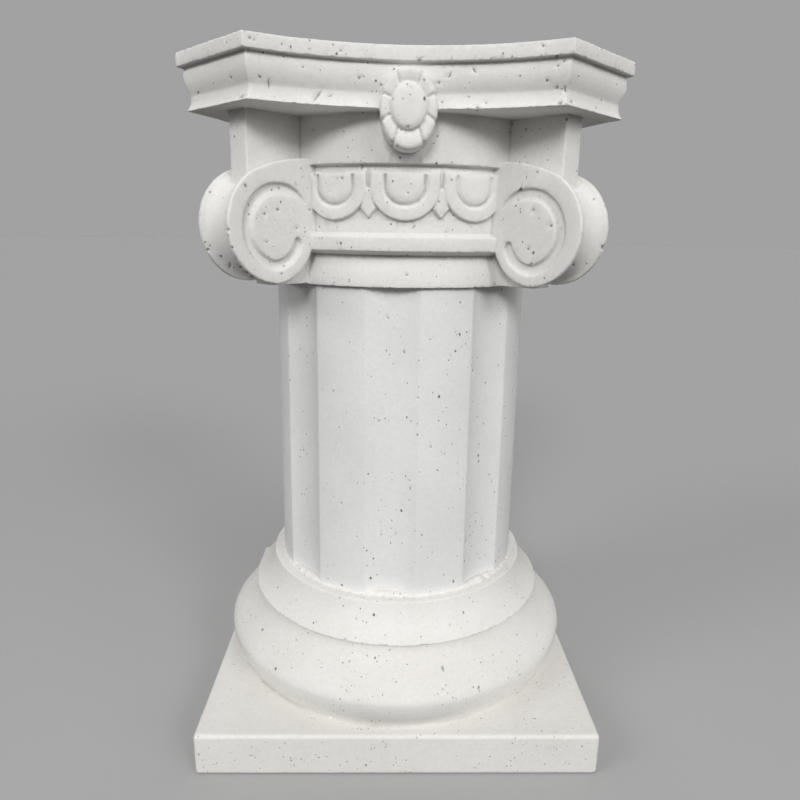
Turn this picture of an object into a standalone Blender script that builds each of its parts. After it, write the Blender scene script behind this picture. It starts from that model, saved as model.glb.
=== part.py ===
"""Ionic column: a cast base, a fluted shaft and a capital with corner volutes. Metres, +Z up.

The column stands on the origin with its plinth and abacus square to X and Y. Each casting is one object.
"""
import bpy
import bmesh
from math import acos, asin, cos, hypot, pi, radians, sin, sqrt, tau
from mathutils import Matrix, Vector

JOINT_GAP = 0.0003  # between one casting and the next

# Base: a square plinth, a torus and a sloping collar
PLINTH_WIDTH = 0.463
PLINTH_HEIGHT = 0.052
PLINTH_EDGE = 0.0035  # radius of its worn edges
TORUS_RADIUS = 0.2294  # at its widest
TORUS_FOOT_RADIUS = 0.215  # where it meets the plinth
TORUS_THROAT_RADIUS = 0.1925  # where it runs up under the collar
TORUS_HEIGHT = 0.0905
TORUS_BELLY = 0.0366  # widest point above the plinth
COLLAR_FOOT_RADIUS = 0.1965
COLLAR_TOP_RADIUS = 0.169
COLLAR_LIP = 0.001  # height of the collar's undercut edge
COLLAR_HEIGHT = 0.0406
COLLAR_HOLLOW = 0.0045  # how far its slope is hollowed

# Shaft: tapered, with flat bands between shallow flutes
SHAFT_HEIGHT = 0.3642
SHAFT_FOOT_RADIUS = 0.1567
SHAFT_TOP_RADIUS = 0.1552
FLUTE_COUNT = 8
FLUTE_WIDTH = 0.060  # straight across, at the foot
FLUTE_DEPTH = 0.008
SHAFT_TURN = -3.97  # degrees from the front of the capital to the nearest flute

# Capital, lower part: necking ring, flat band, egg-and-dart and frieze
NECK_RADIUS = 0.1615
NECK_WAIST = 0.1535  # narrowest radius of its hollow
NECK_HEIGHT = 0.0397
NECK_LIP = 0.0035
BAND_RADIUS = 0.170
BAND_HEIGHT = 0.0119
BAND_SLOPE = 0.0048  # height of the chamfer over the band
ECHINUS_RADIUS = 0.163
ECHINUS_HEIGHT = 0.0665
FRIEZE_RADIUS = 0.170
FRIEZE_HEIGHT = 0.0478

# Egg-and-dart on each face
EGG_WIDTH = 0.071
EGG_HEIGHT = 0.051
EGG_STRAIGHT = 0.018  # straight part of an egg's sides
EGG_SPACING = 0.0739  # from one egg to the next, round the drum
EGG_RELIEF = 0.005
EGG_TOP_GAP = 0.0025  # from the eggs up to the frieze
EGG_RIM = 0.0085
EGG_GROOVE = 0.0055
EGG_GROOVE_DEPTH = 0.0035
DART_WIDTH = 0.018
DART_HEIGHT = 0.031
DART_RELIEF = 0.004
DART_TIP_GAP = 0.0135  # from the dart's tip down to the flat band

# Abacus: hollow sides and cut corners
ABACUS_CORNER_X = 0.1451  # half width where a hollow side ends
ABACUS_CORNER_Y = 0.2283  # distance out of that corner
ABACUS_MIDDLE = 0.191  # distance out of a side's middle
ABACUS_FILLET = 0.0134
ABACUS_STEP = 0.005  # depth of the step under the fillet
ABACUS_OVOLO = 0.026  # height of the rounded part under the step
ABACUS_THROAT = 0.0104  # how far the throat lies inside the fillet
ABACUS_FLARE = 0.0145  # height of the flared foot
ABACUS_FOOT = 0.0062  # how far the foot's edge lies inside the fillet

# Corner volutes, in the plane of each diagonal
PIER_LENGTH = 0.2346  # axis to the pier's end face
PIER_THICKNESS = 0.030
PIER_BOTTOM_GAP = 0.001  # the pier's foot over the ring's underside
SCROLL_CENTRE = 0.210  # axis to the eye
SCROLL_DROP = 0.109  # abacus underside to the eye
SCROLL_RADIUS = 0.059
SCROLL_INNER_RADIUS = 0.0495  # where the scroll closes against the drum
SCROLL_THICKNESS = 0.056
SCROLL_RIM = 0.006  # flat rim at each face
SCROLL_HOLLOW = 0.011  # depth of the hollow between the rims
SCROLL_SHOULDER = 0.0675  # height of the scroll's root over the eye
CHANNEL_RADIUS = 0.0383
CHANNEL_END_RADIUS = 0.026
CHANNEL_WIDTH = 0.0125
CHANNEL_START = 144  # degrees round the eye, where the channel runs out at the drum
CHANNEL_TURN = 303  # degrees from there to its rounded end
CHANNEL_DEPTH = 0.0045
CHANNEL_TAIL = 0.12  # share of its width and depth where it runs out
CHANNEL_BEVEL = 0.38  # share of its width that the bevelled inner wall takes

# Medallion at the middle of each side
MEDALLION_WIDTH = 0.0548
MEDALLION_HEIGHT = 0.074
MEDALLION_DROP = 0.0038  # its centre below the abacus underside
MEDALLION_STAND = 0.006  # its front past the abacus fillet
MEDALLION_GROOVES = (62, 21, -17, -57)  # degrees up from its right side, and again mirrored
BOSS_WIDTH = 0.0304
BOSS_HEIGHT = 0.0445
BOSS_RELIEF = 0.003

# Levels worked out from the sizes above
torus_z = PLINTH_HEIGHT
throat_top = torus_z + TORUS_HEIGHT
collar_z = throat_top + COLLAR_LIP
base_top = collar_z + COLLAR_HEIGHT
shaft_z = base_top + JOINT_GAP
neck_z = shaft_z + SHAFT_HEIGHT + JOINT_GAP
band_z = neck_z + NECK_HEIGHT
echinus_z = band_z + BAND_HEIGHT + BAND_SLOPE
frieze_z = echinus_z + ECHINUS_HEIGHT
abacus_z = frieze_z + FRIEZE_HEIGHT
throat_z = abacus_z + ABACUS_FLARE
fillet_z = throat_z + ABACUS_OVOLO
top_z = fillet_z + ABACUS_FILLET
eye_z = abacus_z - SCROLL_DROP
egg_pitch = EGG_SPACING / (ECHINUS_RADIUS + EGG_RELIEF)  # radians

ROUND_STEPS = 48
OVERLAP = 0.012  # how deep a joined shape is buried in its neighbour


def material(name, colour, roughness):
    mat = bpy.data.materials.new(name)
    mat.use_nodes = True
    shader = mat.node_tree.nodes["Principled BSDF"]
    shader.inputs["Base Color"].default_value = colour
    shader.inputs["Roughness"].default_value = roughness
    shader.inputs["Metallic"].default_value = 0.0
    mat.diffuse_color = colour
    return mat


def new_object(name, mesh, helper=False):
    obj = bpy.data.objects.new(name, mesh)
    bpy.context.scene.collection.objects.link(obj)
    if helper:
        obj.display_type = 'WIRE'
        obj.hide_render = True
    return obj


def object_from_bmesh(name, bm, helper=False):
    bmesh.ops.recalc_face_normals(bm, faces=bm.faces)
    mesh = bpy.data.meshes.new(name)
    bm.to_mesh(mesh)
    bm.free()
    return new_object(name, mesh, helper)


def turned(name, profile, helper=False):
    """Lathe object from (radius, z) points that run down the outer side from axis to axis."""
    mesh = bpy.data.meshes.new(name)
    edges = [(i, i + 1) for i in range(len(profile) - 1)]
    mesh.from_pydata([(r, 0, z) for r, z in profile], edges, [])
    obj = new_object(name, mesh, helper)
    screw = obj.modifiers.new("Turn", 'SCREW')
    screw.steps = screw.render_steps = ROUND_STEPS
    screw.use_merge_vertices = True
    screw.merge_threshold = 0.00001
    return obj


def combine(obj, other, operation):
    step = obj.modifiers.new(other.name, 'BOOLEAN')
    step.operation = operation
    step.solver = 'EXACT'
    step.object = other


def shade(obj, angle=32):
    for face in obj.data.polygons:
        face.use_smooth = True
    obj.data.set_sharp_from_angle(angle=radians(angle))


def skin(bm, rings):
    """Closed skin through rings of equal length, capped by the first and the last."""
    loops = [[bm.verts.new(point) for point in ring] for ring in rings]
    count = len(loops[0])
    for lower, upper in zip(loops, loops[1:]):
        for i in range(count):
            j = (i + 1) % count
            bm.faces.new((lower[i], lower[j], upper[j], upper[i]))
    bm.faces.new(loops[0])
    bm.faces.new(loops[-1])


def swelling(start, end, bulge, steps):
    """Points from start to end with a smooth swell to the left-hand side of the way."""
    dx, dz = end[0] - start[0], end[1] - start[1]
    length = hypot(dx, dz)
    points = []
    for k in range(steps + 1):
        t = k / steps
        lift = 4 * t * (1 - t) * bulge / length
        points.append((start[0] + dx * t - dz * lift, start[1] + dz * t + dx * lift))
    return points


def build_base(mat):
    bm = bmesh.new()
    bmesh.ops.create_cube(bm, size=1.0)
    bmesh.ops.scale(bm, vec=(PLINTH_WIDTH, PLINTH_WIDTH, PLINTH_HEIGHT), verts=bm.verts)
    bmesh.ops.translate(bm, vec=(0, 0, PLINTH_HEIGHT / 2), verts=bm.verts)
    base = object_from_bmesh("base", bm)
    bevel = base.modifiers.new("Worn edges", 'BEVEL')
    bevel.width = PLINTH_EDGE
    bevel.segments = 2
    bevel.limit_method = 'NONE'

    belly = torus_z + TORUS_BELLY
    profile = [(0, base_top)]
    profile += swelling((COLLAR_TOP_RADIUS, base_top), (COLLAR_FOOT_RADIUS, collar_z), -COLLAR_HOLLOW, 3)
    for k in range(6):
        # An S from the throat down to the belly
        t = k / 5
        s = (t * t * (3 - 2 * t)) ** 1.3
        radius = TORUS_THROAT_RADIUS + (TORUS_RADIUS - TORUS_THROAT_RADIUS) * s
        profile.append((radius, throat_top + (belly - throat_top) * t))
    for k in range(1, 4):
        t = k / 3
        profile.append((TORUS_RADIUS - (TORUS_RADIUS - TORUS_FOOT_RADIUS) * t * t, belly - TORUS_BELLY * t))
    profile += [(TORUS_FOOT_RADIUS, torus_z - OVERLAP), (0, torus_z - OVERLAP)]
    turning = turned("base turning", profile, helper=True)
    combine(base, turning, 'UNION')
    base.data.materials.append(mat)


def shaft_outline(radius, width, depth):
    """Outline of the shaft, flutes hollowed as arcs of a circle and flats following the round."""
    half = asin(width / 2 / radius)
    pitch = tau / FLUTE_COUNT
    sag = depth - (radius - radius * cos(half))
    bend = (width * width / 4 + sag * sag) / (2 * sag)
    centre = radius * cos(half) - sag + bend
    reach = asin(width / 2 / bend)
    outline = []
    for n in range(FLUTE_COUNT):
        middle = radians(SHAFT_TURN) - pi / 2 + n * pitch
        for k in range(7):
            a = -reach + 2 * reach * k / 6
            x, y = centre - bend * cos(a), bend * sin(a)
            outline.append(Matrix.Rotation(middle, 2) @ Vector((x, y)))
        for k in range(1, 4):
            a = middle + half + (pitch - 2 * half) * k / 4
            outline.append(Vector((cos(a), sin(a))) * radius)
    return outline


def build_shaft(mat):
    taper = SHAFT_TOP_RADIUS / SHAFT_FOOT_RADIUS
    foot = shaft_outline(SHAFT_FOOT_RADIUS, FLUTE_WIDTH, FLUTE_DEPTH)
    head = shaft_outline(SHAFT_TOP_RADIUS, FLUTE_WIDTH * taper, FLUTE_DEPTH)
    bm = bmesh.new()
    skin(bm, [[(p.x, p.y, shaft_z) for p in foot], [(p.x, p.y, shaft_z + SHAFT_HEIGHT) for p in head]])
    shaft = object_from_bmesh("shaft", bm)
    shaft.data.materials.append(mat)
    shade(shaft, 15)


def build_core():
    """The capital's turned middle, from the underside of the ring into the abacus."""
    lip = (NECK_RADIUS, neck_z + NECK_LIP)
    waist = (NECK_WAIST, band_z - (NECK_HEIGHT - NECK_LIP) * 0.14)
    profile = [(0, abacus_z + OVERLAP), (FRIEZE_RADIUS, abacus_z + OVERLAP), (FRIEZE_RADIUS, frieze_z),
               (ECHINUS_RADIUS, frieze_z), (ECHINUS_RADIUS, echinus_z), (BAND_RADIUS, band_z + BAND_HEIGHT),
               (BAND_RADIUS, band_z)]
    profile += swelling(waist, lip, 0.22 * (NECK_RADIUS - NECK_WAIST), 4)
    profile += [(NECK_RADIUS, neck_z), (0, neck_z)]
    return turned("capital", profile)


def abacus_plan(inset):
    """Plan of the abacus moved in by inset: four hollow sides joined by cut corners."""
    sagitta = ABACUS_CORNER_Y - ABACUS_MIDDLE
    bend = (ABACUS_CORNER_X ** 2 + sagitta ** 2) / (2 * sagitta)
    centre = ABACUS_MIDDLE + bend
    radius = bend + inset
    cut = (ABACUS_CORNER_X + ABACUS_CORNER_Y) / sqrt(2) - inset
    # The side's arc meets the cut where (x - y) / sqrt(2) = cut, with y = -(centre - radius * cos(a))
    reach = acos((centre - cut * sqrt(2)) / (radius * sqrt(2))) - pi / 4
    plan = []
    for quarter in range(4):
        turn = Matrix.Rotation(quarter * pi / 2, 2)
        for k in range(9):
            a = reach * (k / 4 - 1)
            plan.append(turn @ Vector((radius * sin(a), radius * cos(a) - centre)))
    return plan


def build_abacus():
    levels = [(ABACUS_FOOT, abacus_z)]
    flare = swelling((ABACUS_FOOT, abacus_z), (ABACUS_THROAT, throat_z), -0.0015, 2)
    ovolo = swelling((ABACUS_THROAT, throat_z), (ABACUS_STEP, fillet_z), 0.0028, 3)
    levels += flare[1:] + ovolo[1:]
    levels += [(0, fillet_z), (0, top_z)]
    bm = bmesh.new()
    skin(bm, [[(p.x, p.y, z) for p in abacus_plan(inset)] for inset, z in levels])
    return object_from_bmesh("abacus", bm, helper=True)


def on_diagonal(corner, out, across, z):
    """Point in the frame of one corner: out along the diagonal, across it, and height."""
    a = pi / 4 + corner * pi / 2
    return (out * cos(a) - across * sin(a), out * sin(a) + across * cos(a), z)


def scroll_outline(inset):
    """Side outline of a scroll as (out, z): level root, round nose, tighter turn back to the drum."""
    radius = SCROLL_RADIUS - inset
    shoulder = radians(70)
    root = NECK_WAIST - 0.030
    join_out = SCROLL_CENTRE + radius * cos(shoulder)
    join_z = eye_z + radius * sin(shoulder)
    crown = eye_z + SCROLL_SHOULDER - inset
    flat_out = min(FRIEZE_RADIUS - 0.005, join_out - 0.020)
    points = [(root, crown), (flat_out, crown)]
    for k in range(1, 4):
        t = k / 4
        points.append((flat_out + (join_out - flat_out) * t, crown + (join_z - crown) * t * t))
    for k in range(16):
        a = shoulder - radians(220) * k / 15
        shrink = max(0.0, (-pi / 2 - a) / radians(60))
        r = radius - shrink * (SCROLL_RADIUS - SCROLL_INNER_RADIUS)
        points.append((SCROLL_CENTRE + r * cos(a), eye_z + r * sin(a)))
    points.append((root, points[-1][1]))
    return points


def build_corners():
    """Four piers with the double scrolls that hang on them."""
    bm = bmesh.new()
    half = SCROLL_THICKNESS / 2
    flank = half - SCROLL_RIM
    stations = [(-half, 0.0), (-flank, 0.0)]
    for k in range(1, 4):
        a = pi * k / 4
        stations.append((-flank * cos(a), SCROLL_HOLLOW * sin(a)))
    stations += [(flank, 0.0), (half, 0.0)]
    for corner in range(4):
        skin(bm, [[on_diagonal(corner, out, across, z) for out, z in scroll_outline(inset)]
                  for across, inset in stations])
    scrolls = object_from_bmesh("scrolls", bm, helper=True)

    bm = bmesh.new()
    side = PIER_THICKNESS / 2
    root = NECK_WAIST - 0.035
    foot = neck_z + PIER_BOTTOM_GAP
    lower = [(root, foot), (SCROLL_CENTRE, foot), (PIER_LENGTH, eye_z), (PIER_LENGTH, abacus_z + OVERLAP / 2),
             (root, abacus_z + OVERLAP / 2)]
    for corner in range(4):
        skin(bm, [[on_diagonal(corner, out, across, z) for out, z in lower] for across in (-side, side)])
    piers = object_from_bmesh("piers", bm, helper=True)
    return scrolls, piers


def build_channels():
    """Cutters for the spiral channel on both faces of every scroll."""
    bm = bmesh.new()
    half = SCROLL_THICKNESS / 2
    section = [(-0.50, 0.0), (-0.34, 0.9), (0.50 - CHANNEL_BEVEL, 1.0), (0.50, 0.0)]
    start, bend = radians(CHANNEL_START), radians(-80)
    end = start - radians(CHANNEL_TURN)
    widths = {0: CHANNEL_TAIL, 1: 0.75, 15: 0.5}
    steps = 15
    for corner in range(4):
        for face in (-1, 1):
            rings = []
            for k in range(steps + 1):
                a = start + (end - start) * k / steps
                closing = max(0.0, (bend - a) / (bend - end))
                centre = CHANNEL_RADIUS + (CHANNEL_END_RADIUS - CHANNEL_RADIUS) * closing
                taper = widths.get(k, 1.0)
                ring = []
                for offset, depth in section:
                    r = centre - offset * CHANNEL_WIDTH * taper
                    across = face * (half - CHANNEL_DEPTH * depth * taper)
                    ring.append(on_diagonal(corner, SCROLL_CENTRE + r * cos(a), across, eye_z + r * sin(a)))
                for offset in (0.50, -0.50):
                    r = centre - offset * CHANNEL_WIDTH * taper
                    ring.append(on_diagonal(corner, SCROLL_CENTRE + r * cos(a), face * (half + 0.003),
                                            eye_z + r * sin(a)))
                rings.append(ring)
            skin(bm, rings)
    return object_from_bmesh("channels", bm, helper=True)


def egg_loop(inset, drop):
    """Outline of an egg as (sideways, height from its top), moved in by inset."""
    half = EGG_WIDTH / 2 - inset
    deep = EGG_HEIGHT - EGG_STRAIGHT - inset
    points = [(-half, -drop)]
    for k in range(9):
        a = pi + pi * k / 8
        points.append((half * cos(a), -EGG_STRAIGHT + deep * sin(a)))
    points.append((half, -drop))
    return points


def build_eggs():
    bm = bmesh.new()
    top = frieze_z - EGG_TOP_GAP
    face = ECHINUS_RADIUS + EGG_RELIEF
    hollow = EGG_RIM + EGG_GROOVE / 2
    inner = EGG_RIM + EGG_GROOVE
    # Each loop: how far inside the outline, how far under its top, and its radius on the drum
    loops = [(-0.0006, 0.0, ECHINUS_RADIUS - OVERLAP),
             (-0.0006, 0.0, ECHINUS_RADIUS + EGG_RELIEF * 0.1),
             (0.0, EGG_RELIEF, face),
             (EGG_RIM, EGG_RELIEF + 0.0004, face),
             (hollow, EGG_RELIEF + 0.0008, face - EGG_GROOVE_DEPTH),
             (inner, EGG_RELIEF + 0.0012, face - 0.0005)]
    for quarter in range(4):
        for place in (-1, 0, 1):
            middle = quarter * pi / 2 - pi / 2 + place * egg_pitch
            rings = []
            for inset, drop, radius in loops:
                ring = []
                for side, height in egg_loop(inset, drop):
                    a = middle + side / face
                    ring.append((radius * cos(a), radius * sin(a), top + height))
                rings.append(ring)
            skin(bm, rings)
    return object_from_bmesh("eggs", bm, helper=True)


def build_darts():
    bm = bmesh.new()
    tip = echinus_z + DART_TIP_GAP
    face = ECHINUS_RADIUS + DART_RELIEF
    shape = [(0, 0), (0.5 * DART_WIDTH, 0.32 * DART_HEIGHT), (0.12 * DART_WIDTH, DART_HEIGHT),
             (-0.12 * DART_WIDTH, DART_HEIGHT), (-0.5 * DART_WIDTH, 0.32 * DART_HEIGHT)]
    stages = ((ECHINUS_RADIUS - OVERLAP, 1.0), (ECHINUS_RADIUS + 0.001, 1.0), (face, 0.55))
    for quarter in range(4):
        for place in (-0.5, 0.5):
            middle = quarter * pi / 2 - pi / 2 + place * egg_pitch
            rings = []
            for radius, scale in stages:
                ring = []
                for side, height in shape:
                    a = middle + side * scale / face
                    z = tip + DART_HEIGHT / 3 + (height - DART_HEIGHT / 3) * (0.5 + scale / 2)
                    ring.append((radius * cos(a), radius * sin(a), z))
                rings.append(ring)
            skin(bm, rings)
    return object_from_bmesh("darts", bm, helper=True)


def build_medallions():
    bm = bmesh.new()
    centre = abacus_z - MEDALLION_DROP
    front = ABACUS_MIDDLE + MEDALLION_STAND
    back = FRIEZE_RADIUS - 0.008
    grooves = sorted([radians(g) for g in MEDALLION_GROOVES] + [pi - radians(g) for g in MEDALLION_GROOVES])
    half_wide, half_high = MEDALLION_WIDTH / 2, MEDALLION_HEIGHT / 2
    boss_wide, boss_high = BOSS_WIDTH / 2, BOSS_HEIGHT / 2
    # Each ring: half width, half height, distance out, and how deep the petal grooves bite
    rings = [(half_wide, half_high, back, 0.0), (half_wide, half_high, front - 0.006, 0.0),
             (half_wide - 0.0012, half_high - 0.0012, front - 0.002, 0.0012),
             ((half_wide + boss_wide) / 2, (half_high + boss_high) / 2, front, 0.0020),
             (boss_wide, boss_high, front - 0.002, 0.0006),
             (boss_wide * 0.88, boss_high * 0.88, front + BOSS_RELIEF, 0.0)]
    angles = []
    for n, groove in enumerate(grooves):
        following = grooves[(n + 1) % len(grooves)] + (tau if n == len(grooves) - 1 else 0)
        width = following - groove
        angles += [(groove, 1.0), (groove + width * 0.16, 0.0), (groove + width * 0.5, 0.0),
                   (groove + width * 0.84, 0.0)]
    for quarter in range(4):
        turn = Matrix.Rotation(quarter * pi / 2, 3, 'Z')
        loops = []
        for wide, high, out, bite in rings:
            loops.append([turn @ Vector(((wide - bite * cut) * cos(a), -(out - bite * cut),
                                         centre + (high - bite * cut) * sin(a))) for a, cut in angles])
        skin(bm, loops)
    return object_from_bmesh("medallions", bm, helper=True)


def build_capital(mat):
    capital = build_core()
    scrolls, piers = build_corners()
    for piece in (piers, scrolls, build_darts(), build_eggs(), build_abacus(), build_medallions()):
        combine(capital, piece, 'UNION')
    combine(capital, build_channels(), 'DIFFERENCE')
    capital.data.materials.append(mat)


def main():
    for obj in list(bpy.data.objects):
        bpy.data.objects.remove(obj)
    build_base(material("base stone", (0.80, 0.79, 0.76, 1.0), 0.85))
    build_shaft(material("shaft stone", (0.81, 0.80, 0.78, 1.0), 0.85))
    build_capital(material("capital stone", (0.80, 0.80, 0.78, 1.0), 0.85))


main()
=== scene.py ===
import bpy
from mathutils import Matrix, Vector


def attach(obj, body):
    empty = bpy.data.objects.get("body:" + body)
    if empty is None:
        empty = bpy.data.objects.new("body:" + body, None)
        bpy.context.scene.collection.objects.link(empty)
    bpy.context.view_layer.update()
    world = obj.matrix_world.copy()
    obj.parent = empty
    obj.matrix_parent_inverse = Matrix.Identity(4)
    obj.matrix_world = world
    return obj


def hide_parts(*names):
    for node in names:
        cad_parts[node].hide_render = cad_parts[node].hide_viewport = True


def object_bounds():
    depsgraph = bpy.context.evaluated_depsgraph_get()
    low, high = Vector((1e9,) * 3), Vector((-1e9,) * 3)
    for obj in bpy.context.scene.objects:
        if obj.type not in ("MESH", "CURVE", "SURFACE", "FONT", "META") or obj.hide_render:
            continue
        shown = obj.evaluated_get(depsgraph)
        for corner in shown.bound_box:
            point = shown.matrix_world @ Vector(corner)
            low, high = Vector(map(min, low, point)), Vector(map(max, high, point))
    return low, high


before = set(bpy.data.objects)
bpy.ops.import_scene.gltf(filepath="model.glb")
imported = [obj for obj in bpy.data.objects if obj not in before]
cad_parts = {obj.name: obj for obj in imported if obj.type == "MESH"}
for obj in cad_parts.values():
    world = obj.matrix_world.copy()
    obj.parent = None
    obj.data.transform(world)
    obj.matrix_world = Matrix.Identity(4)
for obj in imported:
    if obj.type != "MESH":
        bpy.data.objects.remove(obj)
cadBox = [list(corner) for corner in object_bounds()]

import math

import bmesh
import bpy
import numpy as np
from mathutils import Matrix, Vector

scene = bpy.context.scene
mm = 0.001          # a millimetre in metres
print("frame loaded:", sorted(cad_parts))


# small helpers

def hexToLinear(code):
    channels = [int(code[i:i + 2], 16) / 255 for i in (1, 3, 5)]
    return tuple(c / 12.92 if c <= 0.04045 else ((c + 0.055) / 1.055) ** 2.4 for c in channels) + (1.0,)


def addNode(tree, kind, inputs=None, **settings):
    # inputs: socket name or number against a plain value or the socket that feeds it
    node = tree.nodes.new(kind)
    for name, value in settings.items():
        setattr(node, name, value)
    for key, value in (inputs or {}).items():
        if isinstance(value, bpy.types.NodeSocket):
            tree.links.new(value, node.inputs[key])
        else:
            node.inputs[key].default_value = value
    return node


def linkObject(name, mesh):
    obj = bpy.data.objects.new(name, mesh)
    scene.collection.objects.link(obj)
    return obj


def meshAsIs(name, bm):
    mesh = bpy.data.meshes.new(name)
    bm.to_mesh(mesh)
    bm.free()
    return mesh


def meshFrom(name, bm):
    bmesh.ops.recalc_face_normals(bm, faces=bm.faces)
    return meshAsIs(name, bm)


def pointsOf(mesh):
    spots = np.empty(len(mesh.vertices) * 3, np.float32)
    mesh.vertices.foreach_get("co", spots)
    return spots.reshape(-1, 3)


def skin(bm, rings):
    # closed skin through rings of equal length
    loops = [[bm.verts.new(p) for p in ring] for ring in rings]
    count = len(loops[0])
    for lower, upper in zip(loops, loops[1:]):
        for i in range(count):
            j = (i + 1) % count
            bm.faces.new((lower[i], lower[j], upper[j], upper[i]))
    bm.faces.new(loops[0])
    bm.faces.new(loops[-1])


def turnedMesh(name, profile, steps=240):
    # (radius, height) points from axis to axis, turned round Z
    bm = bmesh.new()
    rings = []
    for r, z in profile[1:-1]:
        rings.append([bm.verts.new((r * math.cos(a), r * math.sin(a), z))
                      for a in (2 * math.pi * k / steps for k in range(steps))])
    for first, second in zip(rings, rings[1:]):
        for i in range(steps):
            j = (i + 1) % steps
            bm.faces.new((first[i], first[j], second[j], second[i]))
    for ring, (r, z) in ((rings[0], profile[0]), (rings[-1], profile[-1])):
        pole = bm.verts.new((0, 0, z))
        for i in range(steps):
            bm.faces.new((ring[i], ring[(i + 1) % steps], pole))
    return meshFrom(name, bm)


def swelling(start, end, bulge, steps):
    # from start to end with a smooth swell to the left of the way
    dx, dz = end[0] - start[0], end[1] - start[1]
    length = math.hypot(dx, dz)
    points = []
    for k in range(steps + 1):
        t = k / steps
        lift = 4 * t * (1 - t) * bulge / length
        points.append((start[0] + dx * t - dz * lift, start[1] + dz * t + dx * lift))
    return points


def evaluated(obj):
    graph = bpy.context.evaluated_depsgraph_get()
    return bpy.data.meshes.new_from_object(obj.evaluated_get(graph))


def setInputs(modifier, values):
    for item in modifier.node_group.interface.items_tree:
        if item.item_type == 'SOCKET' and item.in_out == 'INPUT' and item.name in values:
            modifier[item.identifier] = values[item.name]


def newTree(name, sockets):
    tree = bpy.data.node_groups.new(name, 'GeometryNodeTree')
    tree.interface.new_socket("Geometry", in_out='INPUT', socket_type='NodeSocketGeometry')
    tree.interface.new_socket("Geometry", in_out='OUTPUT', socket_type='NodeSocketGeometry')
    for label, kind, value in sockets:
        socket = tree.interface.new_socket(label, in_out='INPUT', socket_type=kind)
        if value is not None:
            socket.default_value = value
    return tree, addNode(tree, 'NodeGroupInput').outputs


def applyTree(obj, tree, values):
    modifier = obj.modifiers.new(tree.name, 'NODES')
    modifier.node_group = tree
    setInputs(modifier, values)
    mesh = evaluated(obj)
    bpy.data.objects.remove(obj)
    return mesh


# camera: the photograph's angle, near the volutes' height and looking slightly down

cameraLook = {
    "place": (-0.01655, -0.86184, 0.60772),
    "turn": 0.0209,       # radians to the right of +Y
    "down": 0.2513,
    "roll": 0.0157,
    "lens": 29.74,
    "sensor": 36.0,
    "picture": 800,       # the photograph's side in pixels
}


def makeCamera(look):
    cam = bpy.data.cameras.new("studioCamera")
    cam.lens, cam.sensor_width = look["lens"], look["sensor"]
    cam.clip_start, cam.clip_end = 0.01, 50
    obj = linkObject("studioCamera", cam)
    ahead = Vector((math.sin(look["turn"]) * math.cos(look["down"]),
                    math.cos(look["turn"]) * math.cos(look["down"]), -math.sin(look["down"])))
    side = Vector((math.cos(look["turn"]), -math.sin(look["turn"]), 0))
    up = side.cross(ahead)
    imageRight = side * math.cos(look["roll"]) + up * math.sin(look["roll"])
    imageUp = up * math.cos(look["roll"]) - side * math.sin(look["roll"])
    axes = Matrix((imageRight, imageUp, -ahead)).transposed()
    obj.matrix_world = Matrix.Translation(look["place"]) @ axes.to_4x4()
    scene.camera = obj


makeCamera(cameraLook)
print("camera placed")

# cast stone: matt white gypsum cement with no gloss, its skin full of small blow holes where air was trapped
castLook = {
    # the darkest colour of each is painted into holes and inner corners, as painted shade with some dirt
    "baseStone": {"white": "#EDEBE7", "shade": "#E4E1DC", "shadeAndDirt": "#6C665C", "seed": 1.0},
    "shaftStone": {"white": "#ECECEB", "shade": "#E3E3E1", "shadeAndDirt": "#67645E", "seed": 5.0},
    "capitalStone": {"white": "#ECEBE8", "shade": "#E3E1DD", "shadeAndDirt": "#67635C", "seed": 9.0},
}
skinLook = {
    # sizes and heights in millimetres, the rest are shares
    "shake": 1.25, "shakeReach": 2.2,                    # what makes the rims of pinholes ragged
    "swarm": 62.5, "swarmStart": 0.46, "swarmFull": 0.68,
    "tooth": 2.381, "toothHeight": 0.24,                 # a sandy tooth, under the holes
    "cloud": 90.91, "cloudShare": 0.6, "fleck": 3.846, "fleckShare": 0.5, "white": 0.40, "shaded": 0.72,
    # how strongly inner corners are painted with shade, varied by the clouds, and the most that holes and
    # corners darken
    "creaseShadeStart": 0.35, "creaseShadeFull": 0.65, "leastCreaseShade": 0.20, "mostCreaseShade": 0.55, "shadeAndDirtCover": 0.92,
}
pitLook = {
    # cell and depth in millimetres, radii as shares of a cell, then the shares of cells that hold a hole
    "pinholes": {"cell": 4.0, "small": 0.10, "large": 0.24, "inSwarm": 0.42, "outside": 0.060,
                 "stretch": (1.0, 1.0, 0.80), "lean": 0.0, "depth": 0.6},
    "bubbles": {"cell": 9.0, "small": 0.08, "large": 0.17, "inSwarm": 0.24, "outside": 0.035,
                "stretch": (1.0, 1.0, 0.65), "lean": 0.4, "depth": 1.2},
    "tears": {"cell": 12.0, "small": 0.03, "large": 0.07, "inSwarm": 0.18, "outside": 0.020,
              "stretch": (1.0, 1.0, 0.24), "lean": -0.5, "depth": 0.9},
}


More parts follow.
